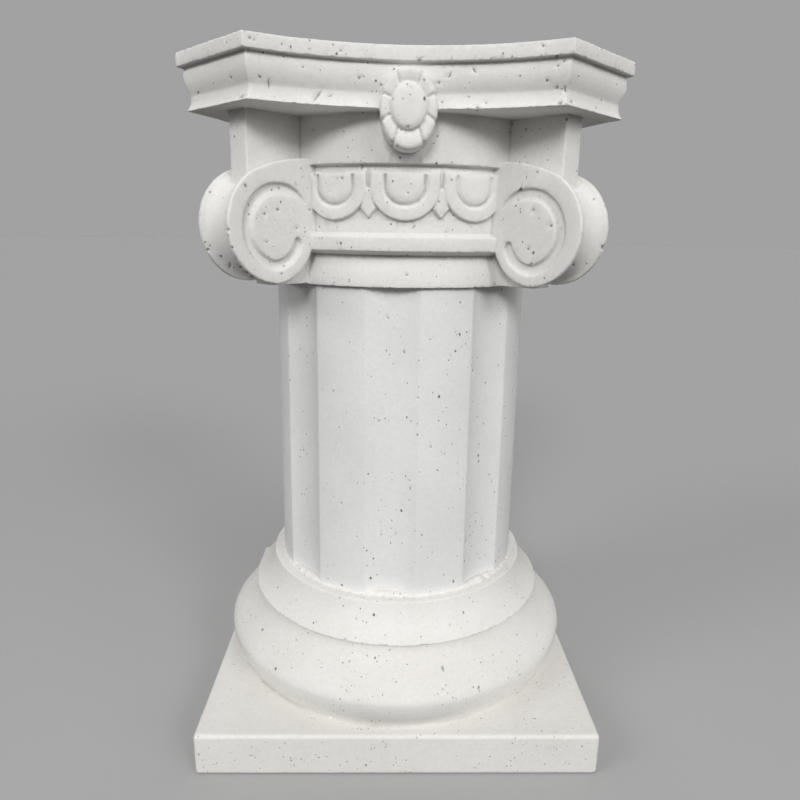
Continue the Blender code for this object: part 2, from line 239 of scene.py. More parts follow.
def drawPits(tree, place, height, pitShadeAndDirt):
    # each kind is a field of cells, some with a round hole in them; it lowers the height and marks the hole
    shake = addNode(tree, 'ShaderNodeTexNoise', {"Vector": place, "Scale": 1 / mm / skinLook["shake"],
                                                 "Detail": 2.0})
    centred = addNode(tree, 'ShaderNodeVectorMath', {0: shake.outputs["Color"], 1: (0.5, 0.5, 0.5)},
                      operation='SUBTRACT')
    shaken = addNode(tree, 'ShaderNodeVectorMath',
                     {0: centred.outputs[0], 1: [skinLook["shakeReach"] * mm] * 3, 2: place},
                     operation='MULTIPLY_ADD')
    swarm = addNode(tree, 'ShaderNodeTexNoise', {"Vector": place, "Scale": 1 / mm / skinLook["swarm"],
                                                 "Detail": 2.0})
    crowd = addNode(tree, 'ShaderNodeMapRange', {"Value": swarm.outputs["Fac"], 1: skinLook["swarmStart"],
                                                 2: skinLook["swarmFull"], 3: 0.0, 4: 1.0})
    for kind in pitLook.values():
        cells = addNode(tree, 'ShaderNodeMapping', {"Vector": shaken.outputs[0], "Scale": kind["stretch"],
                                                    "Rotation": (0.0, kind["lean"], 0.0)})
        drawn = addNode(tree, 'ShaderNodeTexVoronoi', {"Vector": cells.outputs[0],
                                                       "Scale": 1 / mm / kind["cell"]})
        chance = addNode(tree, 'ShaderNodeSeparateColor', {0: drawn.outputs["Color"]})
        share = addNode(tree, 'ShaderNodeMath', {0: crowd.outputs[0], 1: kind["inSwarm"] - kind["outside"],
                                                 2: kind["outside"]}, operation='MULTIPLY_ADD')
        present = addNode(tree, 'ShaderNodeMath', {0: chance.outputs[0], 1: share.outputs[0]},
                          operation='LESS_THAN')
        size = addNode(tree, 'ShaderNodeMath', {0: chance.outputs[1], 1: kind["large"] - kind["small"],
                                                2: kind["small"]}, operation='MULTIPLY_ADD')
        inside = addNode(tree, 'ShaderNodeMath', {0: drawn.outputs["Distance"], 1: size.outputs[0]},
                         operation='DIVIDE')
        bowl = addNode(tree, 'ShaderNodeMapRange',
                       {"Value": inside.outputs[0], 1: 1.0, 2: 0.6, 3: 0.0, 4: 1.0},
                       interpolation_type='SMOOTHSTEP')
        hole = addNode(tree, 'ShaderNodeMath', {0: bowl.outputs[0], 1: present.outputs[0]},
                       operation='MULTIPLY').outputs[0]
        # the hole's mark darkens its colour: painted shade, with some dirt
        pitShadeAndDirt = addNode(tree, 'ShaderNodeMath', {0: pitShadeAndDirt, 1: hole}, operation='MAXIMUM').outputs[0]
        height = addNode(tree, 'ShaderNodeMath', {0: hole, 1: -kind["depth"] * mm, 2: height},
                         operation='MULTIPLY_ADD').outputs[0]
    return height, pitShadeAndDirt


def castMaterial(name, look):
    mat = bpy.data.materials.new(name)
    mat.use_nodes = True
    tree = mat.node_tree
    shader = tree.nodes["Principled BSDF"]
    shader.inputs["Roughness"].default_value = 0.85
    shader.inputs["IOR"].default_value = 1.52
    shader.inputs["Specular IOR Level"].default_value = 0.35
    where = addNode(tree, 'ShaderNodeTexCoord').outputs["Object"]
    # each casting draws its patterns from a place of its own
    place = addNode(tree, 'ShaderNodeMapping', {
        "Vector": where, "Location": [look["seed"] * k for k in (0.37, 0.19, 0.23)]}).outputs[0]
    tooth = addNode(tree, 'ShaderNodeTexNoise', {"Vector": place, "Scale": 1 / mm / skinLook["tooth"],
                                                 "Detail": 3.0, "Roughness": 0.6})
    grit = addNode(tree, 'ShaderNodeMath', {0: tooth.outputs["Fac"], 1: skinLook["toothHeight"] * mm},
                   operation='MULTIPLY').outputs[0]
    dug = addNode(tree, 'ShaderNodeAttribute', attribute_name="holeShadeAndDirt").outputs["Fac"]
    height, pitShadeAndDirt = drawPits(tree, place, grit, dug)
    bump = addNode(tree, 'ShaderNodeBump', {"Height": height, "Strength": 1.0, "Distance": 1.0})
    tree.links.new(bump.outputs[0], shader.inputs["Normal"])
    # colour: clouds a hand wide and a faint fleck
    cloud = addNode(tree, 'ShaderNodeTexNoise', {"Vector": place, "Scale": 1 / mm / skinLook["cloud"],
                                                 "Detail": 3.0})
    fleck = addNode(tree, 'ShaderNodeTexNoise', {"Vector": place, "Scale": 1 / mm / skinLook["fleck"],
                                                 "Detail": 2.0})
    broad = addNode(tree, 'ShaderNodeMath', {0: cloud.outputs["Fac"], 1: skinLook["cloudShare"]},
                    operation='MULTIPLY')
    mixed = addNode(tree, 'ShaderNodeMath', {0: fleck.outputs["Fac"], 1: skinLook["fleckShare"],
                                             2: broad.outputs[0]}, operation='MULTIPLY_ADD')
    tone = addNode(tree, 'ShaderNodeMapRange', {"Value": mixed.outputs[0], 1: skinLook["white"],
                                                2: skinLook["shaded"], 3: 0.0, 4: 1.0})
    tint = addNode(tree, 'ShaderNodeMix', {"Factor": tone.outputs[0], 6: hexToLinear(look["white"]),
                                           7: hexToLinear(look["shade"])}, data_type='RGBA')
    # painted shade darkens the inner corners, unevenly, and the holes get painted shade and dirt
    creaseShade = addNode(tree, 'ShaderNodeAttribute', attribute_name="creaseShade").outputs["Fac"]
    unevenShade = addNode(tree, 'ShaderNodeMapRange', {
        "Value": cloud.outputs["Fac"], 1: skinLook["creaseShadeStart"], 2: skinLook["creaseShadeFull"],
        3: skinLook["leastCreaseShade"], 4: skinLook["mostCreaseShade"]})
    paintedCreaseShade = addNode(tree, 'ShaderNodeMath', {0: creaseShade, 1: unevenShade.outputs[0]},
                   operation='MULTIPLY').outputs[0]
    shadeAndDirtMask = addNode(tree, 'ShaderNodeMath', {0: pitShadeAndDirt, 1: paintedCreaseShade}, operation='MAXIMUM').outputs[0]
    shadeAndDirtShare = addNode(tree, 'ShaderNodeMath', {0: shadeAndDirtMask, 1: skinLook["shadeAndDirtCover"]}, operation='MULTIPLY',
                    use_clamp=True)
    shadedAndSoiled = addNode(tree, 'ShaderNodeMix', {"Factor": shadeAndDirtShare.outputs[0], 6: tint.outputs[2],
                                             7: hexToLinear(look["shadeAndDirt"])}, data_type='RGBA')
    tree.links.new(shadedAndSoiled.outputs[2], shader.inputs["Base Color"])
    return mat


stone = {name: castMaterial(name, look) for name, look in castLook.items()}
print("cast stone materials made")

# the tree that repeats one carved form round the column


def aroundTree():
    tree, given = newTree("aroundTheColumn", [
        ("Sides", 'NodeSocketInt', 4), ("Per side", 'NodeSocketInt', 1),
        ("Pitch", 'NodeSocketFloat', 0.44), ("Turn", 'NodeSocketFloat', 0.0),
        ("Material", 'NodeSocketMaterial', None)])
    count = addNode(tree, 'ShaderNodeMath', {0: given["Sides"], 1: given["Per side"]}, operation='MULTIPLY')
    spots = addNode(tree, 'GeometryNodeMeshLine', {"Count": count.outputs[0], "Offset": (0, 0, 0)})
    index = addNode(tree, 'GeometryNodeInputIndex').outputs[0]
    share = addNode(tree, 'ShaderNodeMath', {0: index, 1: given["Per side"]}, operation='DIVIDE')
    side = addNode(tree, 'ShaderNodeMath', {0: share.outputs[0]}, operation='FLOOR')
    quarter = addNode(tree, 'ShaderNodeMath', {0: 2 * math.pi, 1: given["Sides"]}, operation='DIVIDE')
    sideTurn = addNode(tree, 'ShaderNodeMath', {0: side.outputs[0], 1: quarter.outputs[0], 2: given["Turn"]},
                       operation='MULTIPLY_ADD')
    within = addNode(tree, 'ShaderNodeMath', {0: index, 1: given["Per side"]}, operation='MODULO')
    middle = addNode(tree, 'ShaderNodeMath', {0: given["Per side"], 1: 0.5, 2: -0.5},
                     operation='MULTIPLY_ADD')
    offset = addNode(tree, 'ShaderNodeMath', {0: within.outputs[0], 1: middle.outputs[0]},
                     operation='SUBTRACT')
    angle = addNode(tree, 'ShaderNodeMath', {0: offset.outputs[0], 1: given["Pitch"], 2: sideTurn.outputs[0]},
                    operation='MULTIPLY_ADD')
    spin = addNode(tree, 'ShaderNodeCombineXYZ', {"Z": angle.outputs[0]})
    copies = addNode(tree, 'GeometryNodeInstanceOnPoints',
                     {"Points": spots.outputs[0], "Instance": given["Geometry"], "Rotation": spin.outputs[0]})
    real = addNode(tree, 'GeometryNodeRealizeInstances', {"Geometry": copies.outputs[0]})
    painted = addNode(tree, 'GeometryNodeSetMaterial',
                      {"Geometry": real.outputs[0], "Material": given["Material"]})
    addNode(tree, 'NodeGroupOutput', {"Geometry": painted.outputs[0]})
    return tree


around = aroundTree()


def repeated(name, mesh, material, perSide=1, pitch=0.0):
    return applyTree(linkObject(name, mesh), around,
                     {"Sides": 4, "Per side": perSide, "Pitch": pitch, "Turn": 0.0, "Material": material})


# the tree that gives a casting its uneven skin: slow swells, fine grain, and worn and nicked arrises

castWear = {
    "Swell": 0.0003, "Swell size": 0.05, "Grain": 0.0001, "Grain size": 0.006,
    "Wear": 0.0012, "Wear size": 0.005,
}
edgeLook = {
    "arrisFrom": 0.10, "arrisFull": 0.40, "creaseFrom": -0.06, "creaseFull": -0.30,  # blurred angles, radians
    "nickFrom": 0.50, "nickFull": 0.66,  # a nick deepens between these values of its noise
    "settle": -1.15,                     # added to twice the other noises, so that the skin mostly sinks
}


def skinTree():
    tree, given = newTree("castSkin", [
        ("Swell", 'NodeSocketFloat', 0.0003), ("Swell size", 'NodeSocketFloat', 0.05),
        ("Grain", 'NodeSocketFloat', 0.0001), ("Grain size", 'NodeSocketFloat', 0.006),
        ("Wear", 'NodeSocketFloat', 0.0012), ("Wear size", 'NodeSocketFloat', 0.005),
        ("Seed", 'NodeSocketFloat', 0.0), ("Material", 'NodeSocketMaterial', None)])
    place = addNode(tree, 'GeometryNodeInputPosition').outputs[0]
    normal = addNode(tree, 'GeometryNodeInputNormal').outputs[0]
    # an outward arris turns by a positive angle; blurred, it tells how near a point is to one
    edge = addNode(tree, 'GeometryNodeInputMeshEdgeAngle').outputs["Signed Angle"]
    near = addNode(tree, 'GeometryNodeBlurAttribute', {"Value": edge, "Iterations": 2}).outputs[0]
    arris = addNode(tree, 'ShaderNodeMapRange', {"Value": near, 1: edgeLook["arrisFrom"],
                                                 2: edgeLook["arrisFull"], 3: 0.0, 4: 1.0}).outputs[0]
    # inward creases give a mark that the shader paints as shade
    creaseShade = addNode(tree, 'ShaderNodeMapRange', {"Value": near, 1: edgeLook["creaseFrom"],
                                                  2: edgeLook["creaseFull"], 3: 0.0, 4: 1.0}).outputs[0]
    marked = addNode(tree, 'GeometryNodeStoreNamedAttribute', {
        "Geometry": given["Geometry"], "Name": "creaseShade", "Value": creaseShade}, data_type='FLOAT', domain='POINT')
    total = 0.0
    for part in ("Swell", "Grain", "Wear"):
        scale = addNode(tree, 'ShaderNodeMath', {0: 1.0, 1: given[part + " size"]},
                        operation='DIVIDE').outputs[0]
        wave = addNode(tree, 'ShaderNodeTexNoise', {"Vector": place, "Scale": scale, "W": given["Seed"],
                                                    "Detail": 1.5}, noise_dimensions='4D').outputs[0]
        if part == "Wear":
            nick = addNode(tree, 'ShaderNodeMapRange', {"Value": wave, 1: edgeLook["nickFrom"],
                                                        2: edgeLook["nickFull"], 3: 0.0, 4: -1.0}).outputs[0]
            lift = addNode(tree, 'ShaderNodeMath', {0: nick, 1: arris}, operation='MULTIPLY').outputs[0]
        else:
            lift = addNode(tree, 'ShaderNodeMath', {0: wave, 1: 2.0, 2: edgeLook["settle"]},
                           operation='MULTIPLY_ADD').outputs[0]
        total = addNode(tree, 'ShaderNodeMath', {0: lift, 1: given[part], 2: total},
                        operation='MULTIPLY_ADD').outputs[0]
    inward = addNode(tree, 'ShaderNodeMath', {0: total, 1: 0.0}, operation='MINIMUM').outputs[0]
    push = addNode(tree, 'ShaderNodeVectorMath', {0: normal, "Scale": inward}, operation='SCALE').outputs[0]
    moved = addNode(tree, 'GeometryNodeSetPosition', {"Geometry": marked.outputs[0], "Offset": push})
    smooth = addNode(tree, 'GeometryNodeSetShadeSmooth', {"Geometry": moved.outputs[0]})
    real = addNode(tree, 'GeometryNodeRealizeInstances', {"Geometry": smooth.outputs[0]})
    painted = addNode(tree, 'GeometryNodeSetMaterial',
                      {"Geometry": real.outputs[0], "Material": given["Material"]})
    addNode(tree, 'NodeGroupOutput', {"Geometry": painted.outputs[0]})
    return tree


castSkin = skinTree()


def photoRay(x, y):
    # from the camera through a place on the photograph
    cam = scene.camera
    middle = cameraLook["picture"] / 2
    spread = cameraLook["sensor"] / cameraLook["lens"] / cameraLook["picture"]
    toward = cam.matrix_world.to_3x3() @ Vector(((x - middle) * spread, (middle - y) * spread, -1.0))
    return cam.matrix_world.translation.copy(), toward.normalized()


holeLook = {
    "half": 0.42,      # the bowl's half width, as a share of the width that a list of holes gives
    "reach": 0.55,     # how far from its middle points can move, the same way, and a margin in metres
    "margin": 0.001,
    # the last value: how dark a dug hole is painted, as painted shade with dirt
    "ragged": 0.30, "wall": 0.7, "shadeAndDirt": 0.8,
}


def digHoles(obj, holes):
    # each hole: place on the photograph, width and height in mm, lean in degrees, depth in mm
    # points move in along the surface's normal there, and keep a mark that paints them dark, as painted shade
    # and dirt
    bpy.context.view_layer.update()
    mesh = obj.data
    spots = pointsOf(mesh)
    plain = spots.copy()
    holeShadeAndDirt = np.zeros(len(spots), np.float32)
    axes = scene.camera.matrix_world.to_3x3()
    right, up = np.array(axes @ Vector((1, 0, 0))), np.array(axes @ Vector((0, 1, 0)))
    for x, y, wide, high, lean, depth in holes:
        found, hit, normal, face = obj.ray_cast(*photoRay(x, y))
        if not found:
            continue
        turn = math.radians(lean)
        away = plain - np.array(hit, np.float32)
        reach = max(wide, high) * holeLook["reach"] * mm + holeLook["margin"]
        near = np.nonzero((away ** 2).sum(1) < reach ** 2)[0]
        a, b = away[near] @ right, away[near] @ up
        u = (a * math.cos(turn) + b * math.sin(turn)) / (wide * holeLook["half"] * mm)
        v = (b * math.cos(turn) - a * math.sin(turn)) / (high * holeLook["half"] * mm)
        way = np.arctan2(v, u)
        ragged = 1 + holeLook["ragged"] * (np.sin(way * 5 + x) + np.sin(way * 3 + y))
        bowl = np.clip(1 - (u * u + v * v) * ragged, 0, 1) ** holeLook["wall"]
        spots[near] -= np.outer(bowl * depth * mm, np.array(normal)).astype(np.float32)
        holeShadeAndDirt[near] = np.maximum(holeShadeAndDirt[near], bowl * holeLook["shadeAndDirt"])
    mesh.vertices.foreach_set("co", spots.ravel())
    mesh.attributes.new("holeShadeAndDirt", 'FLOAT', 'POINT').data.foreach_set("value", holeShadeAndDirt)
    mesh.update()
    return int((holeShadeAndDirt > 0).sum())


def cast(name, forms, material, size, holes):
    # forms are closed shells that may overlap: they are fused on a fine grid, skinned, dug and thinned
    bm = bmesh.new()
    for mesh in forms:
        bm.from_mesh(mesh)
    body = linkObject(name + "Body", meshAsIs(name, bm))
    fuse = body.modifiers.new("fuse", 'REMESH')
    fuse.mode = 'VOXEL'
    fuse.voxel_size = size["grain"] * 1.0
    mesh = evaluated(body)
    bpy.data.objects.remove(body)
    whole = len(mesh.polygons)
    mesh = applyTree(linkObject(name + "Skin", mesh), castSkin,
                     {**castWear, "Seed": size["seed"], "Material": material})
    thin = linkObject(name + "Thin", mesh)
    dug = digHoles(thin, holes)
    step = thin.modifiers.new("thin", 'DECIMATE')
    step.ratio = min(1.0, size["faces"] / (2 * whole))
    step.use_collapse_triangulate = True
    final = evaluated(thin)
    bpy.data.objects.remove(thin)
    final.name = name
    final.materials.clear()
    final.materials.append(material)
    final.polygons.foreach_set("material_index", np.zeros(len(final.polygons), np.int32))
    final.polygons.foreach_set("use_smooth", np.ones(len(final.polygons), bool))
    low, high = np.array(cadBox, np.float32)  # thinning may carry a point a hair outside the frame's box
    final.vertices.foreach_set("co", np.clip(pointsOf(final), low, high).ravel())
    final.update()
    print(name, "fused", whole, "dug", dug, "kept", len(final.polygons))
    return linkObject(name, final)


# base: square plinth, torus and sloping collar, cast in one

baseSize = {
    "plinthWidth": 0.463, "plinthHeight": 0.052, "plinthEdge": 0.0038,
    "torusRadius": 0.2294, "torusFoot": 0.215, "torusThroat": 0.1903, "torusHeight": 0.0905, "belly": 0.0366,
    "throatCurl": 1.35, "undercut": 0.0026, "undercutLift": 0.0010, "footTuck": 0.0006, "footRound": 0.0022,
    "collarFoot": 0.1965, "collarTop": 0.169, "collarHeight": 0.0406,
    "collarLip": 0.001, "collarHollow": 0.0045,
    "sink": 0.012,        # how far the turning reaches into the plinth
    "grain": 0.0013, "faces": 180000, "seed": 1.0,
}
seamSize = {
    "radius": 0.1552, "scoop": 0.0028, "thick": 0.0030, "fill": 0.0026, "unevenness": 0.0020, "seed": 4.0,
    "lumps": 15.0,        # how many fit in the ring's radius
}
fluteSize = {"count": 8, "turn": math.radians(-3.97)}  # the turn is from the front, round the axis
baseHoles = [
    # place on the photograph, width and height in mm, lean in degrees, depth in mm
    (356, 619, 2.8, 2.4, 0, 1.4), (363, 621, 2.6, 2.2, 0, 1.3), (345, 639, 3.0, 2.6, 20, 1.4),
    (385, 635, 2.4, 2.2, 0, 1.2), (443, 668, 3.2, 8.5, 8, 2.0), (349, 661, 3.0, 2.8, 0, 1.4),
    (346, 690, 3.4, 2.6, 0, 1.5), (479, 688, 2.6, 7.0, 0, 1.6), (367, 656, 2.6, 2.4, 0, 1.2),
    (443, 689, 2.6, 2.6, 0, 1.3), (448, 693, 2.4, 2.4, 0, 1.2), (438, 694, 2.4, 2.4, 0, 1.2),
    (251, 756, 3.6, 2.8, 0, 1.6), (586, 760, 3.2, 2.8, 0, 1.5), (327, 757, 3.0, 2.6, 0, 1.4),
    (285, 744, 2.6, 2.4, 0, 1.2), (457, 756, 3.0, 2.6, 0, 1.4), (520, 675, 2.6, 2.6, 0, 1.3),
    (402, 716, 3.0, 2.0, 0, 1.2), (296, 640, 2.4, 2.4, 0, 1.2),
]


def makeBase(size):
    bm = bmesh.new()
    bmesh.ops.create_cube(bm, size=1.0)
    bmesh.ops.scale(bm, vec=(size["plinthWidth"], size["plinthWidth"], size["plinthHeight"]), verts=bm.verts)
    bmesh.ops.translate(bm, vec=(0, 0, size["plinthHeight"] / 2), verts=bm.verts)
    bmesh.ops.bevel(bm, geom=bm.edges[:], offset=size["plinthEdge"], segments=5, profile=0.5, affect='EDGES')
    plinth = meshFrom("plinth", bm)
    foot = size["plinthHeight"]
    throat = foot + size["torusHeight"]
    collar = throat + size["collarLip"]
    top = collar + size["collarHeight"]
    belly = foot + size["belly"]
    profile = [(0, top)]
    profile += swelling((size["collarTop"], top), (size["collarFoot"], collar), -size["collarHollow"], 16)
    for k in range(41):
        t = k / 40
        s = (t * t * (3 - 2 * t)) ** size["throatCurl"]
        profile.append((size["torusThroat"] + (size["torusRadius"] - size["torusThroat"]) * s,
                        throat + (belly - throat) * t))
    for k in range(1, 25):
        t = k / 24
        profile.append((size["torusRadius"] - (size["torusRadius"] - size["torusFoot"]) * t * t,
                        belly - size["belly"] * t))
    under = size["torusFoot"] - size["undercut"]
    profile[-1] = (size["torusFoot"] - size["footTuck"], foot + size["footRound"])
    sunk = foot - size["sink"]
    profile += [(under, foot + size["undercutLift"]), (under, sunk), (0, sunk)]
    return [plinth, turnedMesh("turning", profile, 360)], top


def seamTree():
    # a hand-pressed bead of filler: an uneven ring that dips into each flute and is thicker there
    tree, given = newTree("fillerSeam", [
        ("Radius", 'NodeSocketFloat', 0.155), ("Scoop", 'NodeSocketFloat', 0.003),
        ("Flutes", 'NodeSocketInt', 8), ("Turn", 'NodeSocketFloat', 0.0),
        ("Level", 'NodeSocketFloat', 0.18), ("Thick", 'NodeSocketFloat', 0.003),
        ("Fill", 'NodeSocketFloat', 0.003), ("Unevenness", 'NodeSocketFloat', 0.0015),
        ("Lumps", 'NodeSocketFloat', 15.0), ("Seed", 'NodeSocketFloat', 0.0),
        ("Material", 'NodeSocketMaterial', None)])
    ring = addNode(tree, 'GeometryNodeCurvePrimitiveCircle', {"Resolution": 900, "Radius": 1.0})
    way = addNode(tree, 'GeometryNodeInputPosition').outputs[0]
    parts = addNode(tree, 'ShaderNodeSeparateXYZ', {0: way})
    angle = addNode(tree, 'ShaderNodeMath', {0: parts.outputs["Y"], 1: parts.outputs["X"]},
                    operation='ARCTAN2').outputs[0]
    past = addNode(tree, 'ShaderNodeMath', {0: angle, 1: given["Turn"]}, operation='SUBTRACT').outputs[0]
    phase = addNode(tree, 'ShaderNodeMath', {0: past, 1: given["Flutes"]}, operation='MULTIPLY').outputs[0]
    wave = addNode(tree, 'ShaderNodeMath', {0: phase}, operation='COSINE').outputs[0]
    half = addNode(tree, 'ShaderNodeMath', {0: wave, 1: 0.5, 2: 0.5}, operation='MULTIPLY_ADD',
                   use_clamp=True).outputs[0]
    # 1 in the middle of a flute and 0 between two
    inFlute = addNode(tree, 'ShaderNodeMath', {0: half, 1: 2.5}, operation='POWER').outputs[0]
    lumps = addNode(tree, 'ShaderNodeTexNoise',
                    {"Vector": way, "W": given["Seed"], "Scale": given["Lumps"], "Detail": 4.0},
                    noise_dimensions='4D').outputs[0]
    uneven = addNode(tree, 'ShaderNodeMath', {0: lumps, 1: 2.0, 2: -1.0}, operation='MULTIPLY_ADD').outputs[0]
    drift = addNode(tree, 'ShaderNodeMath', {0: uneven, 1: given["Unevenness"]},
                    operation='MULTIPLY').outputs[0]
    dip = addNode(tree, 'ShaderNodeMath', {0: inFlute, 1: given["Scoop"]}, operation='MULTIPLY').outputs[0]
    inner = addNode(tree, 'ShaderNodeMath', {0: given["Radius"], 1: dip}, operation='SUBTRACT').outputs[0]
    reach = addNode(tree, 'ShaderNodeMath', {0: inner, 1: drift}, operation='ADD').outputs[0]
    outward = addNode(tree, 'ShaderNodeVectorMath', {0: way, "Scale": reach}, operation='SCALE').outputs[0]
    upward = addNode(tree, 'ShaderNodeCombineXYZ', {"Z": given["Level"]}).outputs[0]
    spot = addNode(tree, 'ShaderNodeVectorMath', {0: outward, 1: upward}, operation='ADD').outputs[0]
    extra = addNode(tree, 'ShaderNodeMath', {0: inFlute, 1: given["Fill"], 2: given["Thick"]},
                    operation='MULTIPLY_ADD')
    width = addNode(tree, 'ShaderNodeMath', {0: drift, 1: extra.outputs[0]}, operation='ADD').outputs[0]
    # the widths are taken on the plain ring, before its points move
    kept = addNode(tree, 'GeometryNodeCaptureAttribute', {"Geometry": ring.outputs[0]}, domain='POINT')
    kept.capture_items.new('FLOAT', "Width")
    tree.links.new(width, kept.inputs[1])
    path = addNode(tree, 'GeometryNodeSetPosition', {"Geometry": kept.outputs[0], "Position": spot})
    profile = addNode(tree, 'GeometryNodeCurvePrimitiveCircle', {"Resolution": 10, "Radius": 1.0})
    bead = addNode(tree, 'GeometryNodeCurveToMesh',
                   {"Curve": path.outputs[0], "Profile Curve": profile.outputs[0], "Scale": kept.outputs[1]})
    real = addNode(tree, 'GeometryNodeRealizeInstances', {"Geometry": bead.outputs[0]})
    painted = addNode(tree, 'GeometryNodeSetMaterial',
                      {"Geometry": real.outputs[0], "Material": given["Material"]})
    addNode(tree, 'NodeGroupOutput', {"Geometry": painted.outputs[0]})
    return tree


baseForms, baseTop = makeBase(baseSize)
fluteStart = fluteSize["turn"] - math.pi / 2  # measured from +X, while the front is along -Y
baseForms.append(applyTree(linkObject("fillerSeam", bpy.data.meshes.new("fillerSeam")), seamTree(), {
    "Radius": seamSize["radius"], "Scoop": seamSize["scoop"], "Flutes": fluteSize["count"],
    "Turn": fluteStart, "Level": baseTop, "Thick": seamSize["thick"], "Fill": seamSize["fill"],
    "Unevenness": seamSize["unevenness"], "Lumps": seamSize["lumps"], "Seed": seamSize["seed"],
    "Material": stone["baseStone"]}))
baseCast = cast("baseCast", baseForms, stone["baseStone"], baseSize, baseHoles)

# shaft: a fluted drum whose outline follows a rule

shaftSize = {
    "foot": 0.0003, "height": 0.3642, "footRadius": 0.1567, "topRadius": 0.1552,
    "fluteWidth": 0.060, "fluteDepth": 0.008, "arris": 0.0003,
    "grain": 0.0011, "faces": 160000, "seed": 2.0,
}


def shaftTree():
    tree, given = newTree("flutedShaft", [
        ("Foot height", 'NodeSocketFloat', 0.0), ("Height", 'NodeSocketFloat', 0.36),
        ("Foot radius", 'NodeSocketFloat', 0.157), ("Top radius", 'NodeSocketFloat', 0.155),
        ("Flutes", 'NodeSocketInt', 8), ("Flute centre", 'NodeSocketFloat', 0.2),
        ("Flute bend", 'NodeSocketFloat', 0.06), ("Turn", 'NodeSocketFloat', 0.0),
        ("Arris", 'NodeSocketFloat', 0.0007), ("Material", 'NodeSocketMaterial', None)])
    drum = addNode(tree, 'GeometryNodeMeshCylinder',
                   {"Vertices": 768, "Side Segments": 90, "Fill Segments": 1, "Radius": 1.0, "Depth": 1.0})
    parts = addNode(tree, 'ShaderNodeSeparateXYZ', {0: addNode(tree, 'GeometryNodeInputPosition').outputs[0]})
    share = addNode(tree, 'ShaderNodeMath', {0: parts.outputs["Z"], 1: 0.5}, operation='ADD').outputs[0]
    angle = addNode(tree, 'ShaderNodeMath', {0: parts.outputs["Y"], 1: parts.outputs["X"]},
                    operation='ARCTAN2').outputs[0]
    pitch = addNode(tree, 'ShaderNodeMath', {0: 2 * math.pi, 1: given["Flutes"]},
                    operation='DIVIDE').outputs[0]
    fromFlute = addNode(tree, 'ShaderNodeMath', {0: angle, 1: given["Turn"]}, operation='SUBTRACT').outputs[0]
    turns = addNode(tree, 'ShaderNodeMath', {0: fromFlute, 1: pitch}, operation='DIVIDE').outputs[0]
    nearest = addNode(tree, 'ShaderNodeMath', {0: turns}, operation='ROUND').outputs[0]
    past = addNode(tree, 'ShaderNodeMath', {0: turns, 1: nearest}, operation='SUBTRACT').outputs[0]
    local = addNode(tree, 'ShaderNodeMath', {0: past, 1: pitch}, operation='MULTIPLY').outputs[0]
    # a ray at this angle meets the flute's arc at c cos(a) - sqrt(b^2 - c^2 sin(a)^2)
    sine = addNode(tree, 'ShaderNodeMath', {0: local}, operation='SINE').outputs[0]
    cosine = addNode(tree, 'ShaderNodeMath', {0: local}, operation='COSINE').outputs[0]
    across = addNode(tree, 'ShaderNodeMath', {0: given["Flute centre"], 1: sine},
                     operation='MULTIPLY').outputs[0]
    away = addNode(tree, 'ShaderNodeMath', {0: given["Flute centre"], 1: cosine},
                   operation='MULTIPLY').outputs[0]
    acrossSquare = addNode(tree, 'ShaderNodeMath', {0: across, 1: 2.0}, operation='POWER').outputs[0]
    bendSquare = addNode(tree, 'ShaderNodeMath', {0: given["Flute bend"], 1: 2.0},
                         operation='POWER').outputs[0]
    left = addNode(tree, 'ShaderNodeMath', {0: bendSquare, 1: acrossSquare}, operation='SUBTRACT').outputs[0]
    under = addNode(tree, 'ShaderNodeMath', {0: left, 1: 0.0}, operation='MAXIMUM').outputs[0]
    chord = addNode(tree, 'ShaderNodeMath', {0: under}, operation='SQRT').outputs[0]
    flute = addNode(tree, 'ShaderNodeMath', {0: away, 1: chord}, operation='SUBTRACT').outputs[0]
    radius = addNode(tree, 'ShaderNodeMath', {0: flute, 1: given["Foot radius"], 2: given["Arris"]},
                     operation='SMOOTH_MIN').outputs[0]
    taper = addNode(tree, 'ShaderNodeMath', {0: given["Top radius"], 1: given["Foot radius"]},
                    operation='DIVIDE').outputs[0]
    loss = addNode(tree, 'ShaderNodeMath', {0: taper, 1: 1.0}, operation='SUBTRACT').outputs[0]
    grow = addNode(tree, 'ShaderNodeMath', {0: share, 1: loss, 2: 1.0}, operation='MULTIPLY_ADD').outputs[0]
    reach = addNode(tree, 'ShaderNodeMath', {0: radius, 1: grow}, operation='MULTIPLY').outputs[0]
    level = addNode(tree, 'ShaderNodeMath', {0: share, 1: given["Height"], 2: given["Foot height"]},
                    operation='MULTIPLY_ADD').outputs[0]
    flat = addNode(tree, 'ShaderNodeCombineXYZ',
                   {"X": parts.outputs["X"], "Y": parts.outputs["Y"]}).outputs[0]
    outward = addNode(tree, 'ShaderNodeVectorMath', {0: flat, "Scale": reach}, operation='SCALE').outputs[0]
    upward = addNode(tree, 'ShaderNodeCombineXYZ', {"Z": level}).outputs[0]
    spot = addNode(tree, 'ShaderNodeVectorMath', {0: outward, 1: upward}, operation='ADD')
    shaped = addNode(tree, 'GeometryNodeSetPosition',
                     {"Geometry": drum.outputs[0], "Position": spot.outputs[0]})
    real = addNode(tree, 'GeometryNodeRealizeInstances', {"Geometry": shaped.outputs[0]})
    painted = addNode(tree, 'GeometryNodeSetMaterial',
                      {"Geometry": real.outputs[0], "Material": given["Material"]})
    addNode(tree, 'NodeGroupOutput', {"Geometry": painted.outputs[0]})
    return tree


def fluteArc(size):
    # centre and radius of the circle that hollows each flute
    radius, width = size["footRadius"], size["fluteWidth"]
    half = math.asin(width / 2 / radius)
    sag = size["fluteDepth"] - (radius - radius * math.cos(half))
    bend = (width * width / 4 + sag * sag) / (2 * sag)
    return radius * math.cos(half) - sag + bend, bend


